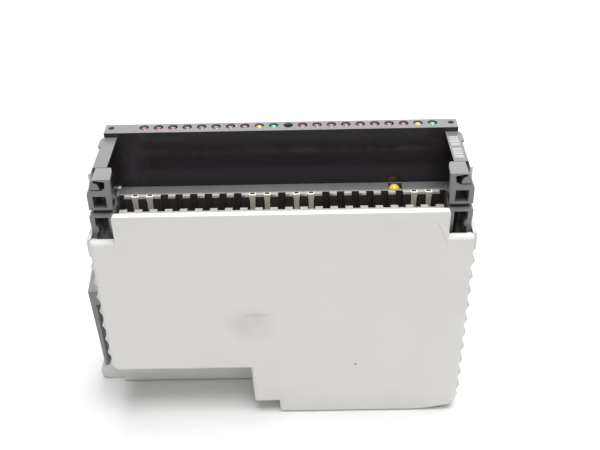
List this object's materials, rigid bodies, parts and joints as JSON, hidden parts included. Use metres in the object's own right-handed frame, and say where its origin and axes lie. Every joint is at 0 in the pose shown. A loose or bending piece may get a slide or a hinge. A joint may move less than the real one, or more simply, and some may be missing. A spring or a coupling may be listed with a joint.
{
  "type": "plc module",
  "caption": "Slim rack-mount input/output module: tall ribbed case, front recess with a coded terminal header, indicator bar, press button and rear release lever.",
  "frame": {"origin": "in the plane of the rear rest face, midway along the housing and midway through its thickness", "axes": "+X along the length away from the release lever, +Y through the thickness towards the indicator row, +Z from the rear face to the indicator bar"},
  "size_m": [0.1412, 0.0404, 0.105],
  "materials": {
    "casing_grey": "fine matt moulded polymer",
    "frame_grey": "satin moulded polymer",
    "screen_black": "glossy",
    "socket_brown": "satin",
    "key_white": "satin",
    "contact_metal": "tinned and gold-flashed",
    "lamp_red": "tinted clear lens",
    "lamp_yellow": "tinted clear lens",
    "lamp_green": "tinted clear lens",
    "board_green": "solder mask",
    "chip_black": "moulded",
    "can_metal": "drawn can",
    "steel": "plated",
    "button_yellow": "glossy",
    "ribbon_film": "amber film"
  },
  "bodies": {
    "module_body": {"housing": "casing_grey", "side_cover": "casing_grey", "bus_connector": "casing_grey", "hook_foot": "casing_grey", "front_frame": "frame_grey", "indicator_bar": "frame_grey", "left_end_bracket": "frame_grey", "right_end_bracket": "frame_grey", "recess_screen": "screen_black", "left_cheek": "screen_black", "right_cheek": "screen_black", "terminal_header": "socket_brown", "coding_profile_01": "key_white", "coding_profile_02": "key_white", "coding_profile_03": "key_white", "coding_profile_04": "key_white", "coding_profile_05": "key_white", "coding_profile_06": "key_white", "coding_profile_07": "key_white", "coding_profile_08": "key_white", "ledge_tab": "key_white", "terminal_pins": "contact_metal", "bus_contacts": "contact_metal", "lamp_leads": "contact_metal", "red_lamp_01": "lamp_red", "red_lamp_02": "lamp_red", "red_lamp_03": "lamp_red", "red_lamp_04": "lamp_red", "red_lamp_05": "lamp_red", "red_lamp_06": "lamp_red", "red_lamp_07": "lamp_red", "red_lamp_08": "lamp_red", "red_lamp_09": "lamp_red", "red_lamp_10": "lamp_red", "red_lamp_11": "lamp_red", "red_lamp_12": "lamp_red", "red_lamp_13": "lamp_red", "red_lamp_14": "lamp_red", "red_lamp_15": "lamp_red", "red_lamp_16": "lamp_red", "yellow_lamp_01": "lamp_yellow", "yellow_lamp_02": "lamp_yellow", "green_lamp_01": "lamp_green", "green_lamp_02": "lamp_green", "main_board": "board_green", "lamp_board": "board_green", "optocouplers": "chip_black", "output_drivers": "chip_black", "controller_chip": "chip_black", "button_switch": "chip_black", "capacitors": "can_metal", "board_screws": "steel", "latch_pin": "steel", "latch_spring": "steel", "button_spring": "steel", "lamp_ribbon": "ribbon_film"},
    "latch": {"latch_lever": "frame_grey"},
    "button": {"reset_button": "button_yellow"}
  },
  "joints": [
    {"name": "latch_swing", "type": "hinge", "parent": "module_body", "child": "latch", "pos_m": [-0.0723, 0.00415, 0.0436], "axis": [0, 1, 0], "range_deg": [0, 5], "stiffness_Nm_per_rad": 0.06, "springref_deg": -5.73, "deforming": ["latch_spring"]},
    {"name": "reset_press", "type": "slide", "parent": "module_body", "child": "button", "axis": [0, 0, -1], "range_m": [0, 0.0008], "stiffness_N_per_m": 300, "springref_m": -0.001, "deforming": ["button_spring"]}
  ]
}
